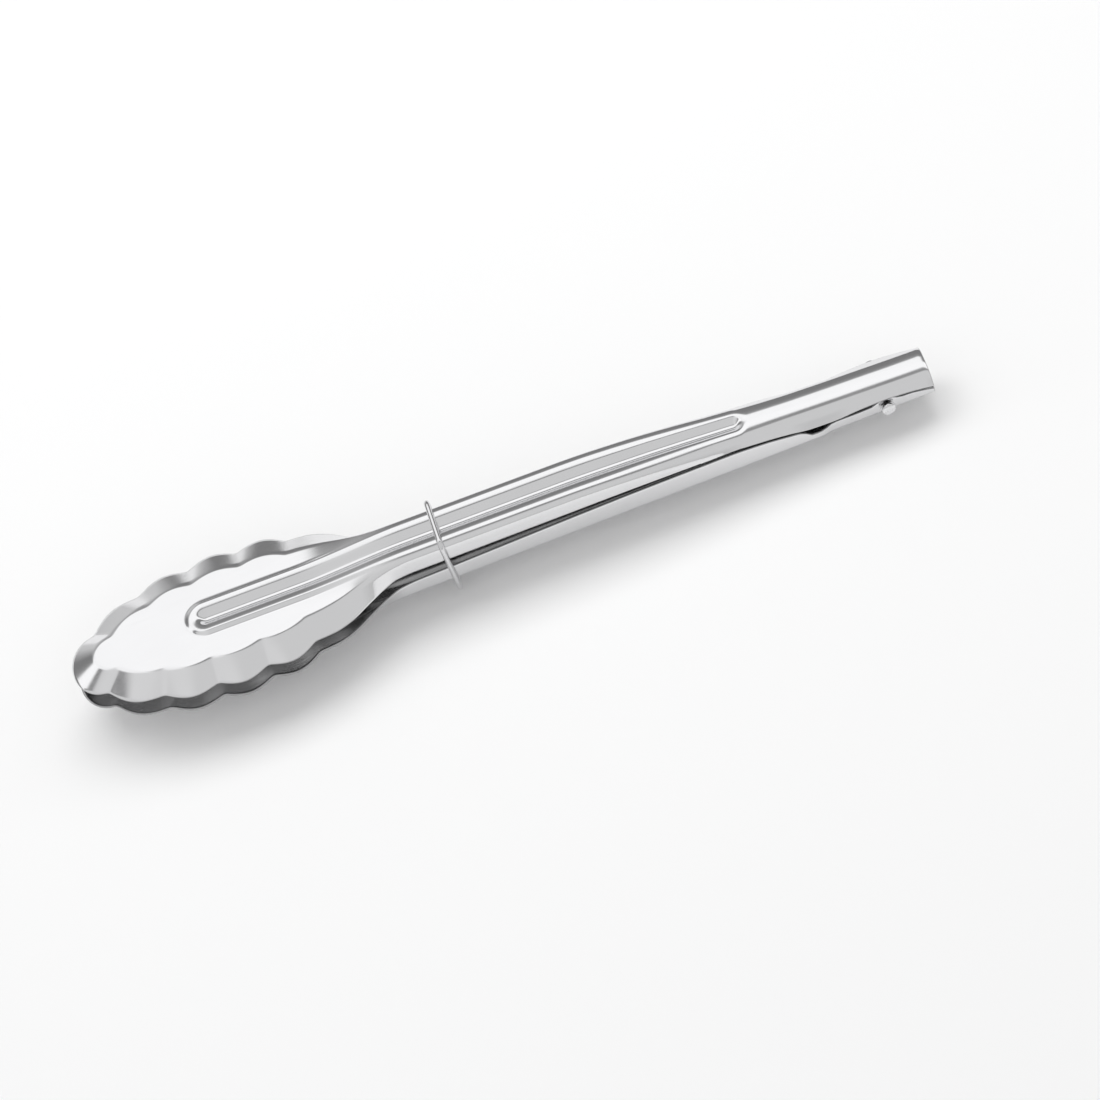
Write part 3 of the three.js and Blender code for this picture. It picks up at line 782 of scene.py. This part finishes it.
def add_floor():
    lowest = CAD_BOX[0][2]
    place = (*FLOOR_MIDDLE, lowest - FLOOR_CLEARANCE)
    bpy.ops.mesh.primitive_plane_add(size=FLOOR_SIZE, location=place)
    floor = bpy.context.object
    floor.name = "floor"
    paper = bpy.data.materials.new("paper_floor")
    paper.use_nodes = True
    shader = paper.node_tree.nodes["Principled BSDF"]
    shader.inputs["Base Color"].default_value = (0.9, 0.9, 0.9, 1)
    shader.inputs["Roughness"].default_value = 0.9
    shader.inputs["Specular IOR Level"].default_value = 0.1
    floor.data.materials.append(paper)


# brightness by the angle up from the far horizon, over the top, to the near horizon
OPEN_SKY = [(0, 0.66), (18, 0.62), (30, 0.45), (42, 0.5), (49, 1.15), (80, 1.1), (95, 0.8), (150, 0.74),
            (180, 0.6)]
BARRED_SKY = [(0, 0.22), (30, 0.24), (43, 0.32), (49, 1.2), (75, 1.2), (80, 0.3), (88, 0.3), (94, 0.72),
              (150, 0.72), (180, 0.6)]


# how much of the barred sky there is, by the direction's part along X
BARRED_SHARE = [(-0.62, 1.0), (-0.45, 0.0), (-0.24, 0.0), (-0.07, 1.0)]


def set_bands(ramp, bands):
    elements = ramp.color_ramp.elements
    while len(elements) < len(bands):
        elements.new(0.5)
    for element, (position, value) in zip(elements, bands):
        element.position = position
        element.color = (value, value, value, 1)


def add_world():
    """A soft studio: bright overhead and behind, with a darker room round the camera."""
    world = bpy.data.worlds.new("studio")
    bpy.context.scene.world = world
    world.use_nodes = True
    nodes, links = world.node_tree.nodes, world.node_tree.links
    background = nodes["Background"]
    where = nodes.new("ShaderNodeTexCoord")
    split = nodes.new("ShaderNodeSeparateXYZ")
    around = nodes.new("ShaderNodeMath")
    around.operation = "ARCTAN2"
    scaled = nodes.new("ShaderNodeMath")
    scaled.operation = "DIVIDE"
    scaled.inputs[1].default_value = math.pi
    links.new(where.outputs["Generated"], split.inputs["Vector"])
    links.new(split.outputs["Z"], around.inputs[0])
    links.new(split.outputs["Y"], around.inputs[1])
    links.new(around.outputs[0], scaled.inputs[0])
    sides = []
    for bands in (OPEN_SKY, BARRED_SKY):
        ramp = nodes.new("ShaderNodeValToRGB")
        set_bands(ramp, [(degrees / 180, value) for degrees, value in bands])
        links.new(scaled.outputs[0], ramp.inputs["Fac"])
        sides.append(ramp)
    along = nodes.new("ShaderNodeMapRange")
    along.inputs["From Min"].default_value = -1.0
    links.new(split.outputs["X"], along.inputs["Value"])
    across = nodes.new("ShaderNodeValToRGB")
    set_bands(across, [(x / 2 + 0.5, share) for x, share in BARRED_SHARE])
    links.new(along.outputs["Result"], across.inputs["Fac"])
    mix = nodes.new("ShaderNodeMixRGB")
    links.new(across.outputs["Color"], mix.inputs["Fac"])
    links.new(sides[0].outputs["Color"], mix.inputs["Color1"])
    links.new(sides[1].outputs["Color"], mix.inputs["Color2"])
    links.new(mix.outputs["Color"], background.inputs["Color"])
    background.inputs["Strength"].default_value = 1.0


add_camera()
add_world()
add_floor()
area_light("key_panel", place=(-0.15, 0.55, 1.25), aim=(-0.13, 0, 0), size=(1.6, 0.9), power=9.0)
bpy.context.scene.view_settings.view_transform = "Standard"

pieces = [
    (lower_arm(ARM_STEEL, SHADED_INNER_STEEL), "lower", "lower_arm", "arm_steel"),
    (upper_arm(ARM_STEEL, SHADED_INNER_STEEL), "upper", "upper_arm", "arm_steel"),
    (pivot_pin(PIN_STEEL), "lower", "pivot_pin", "pin_steel"),
    (spring_coil(SPRING_STEEL), "lower", "torsion_spring", "spring_steel"),
    (locking_ring(RING_STEEL), "ring", "locking_ring", "ring_steel"),
]
for piece, body, node, slot in pieces:
    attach(piece, body)
    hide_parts(node)
upper_leg = spring_upper_leg(SPRING_STEEL)
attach(upper_leg, "upper")
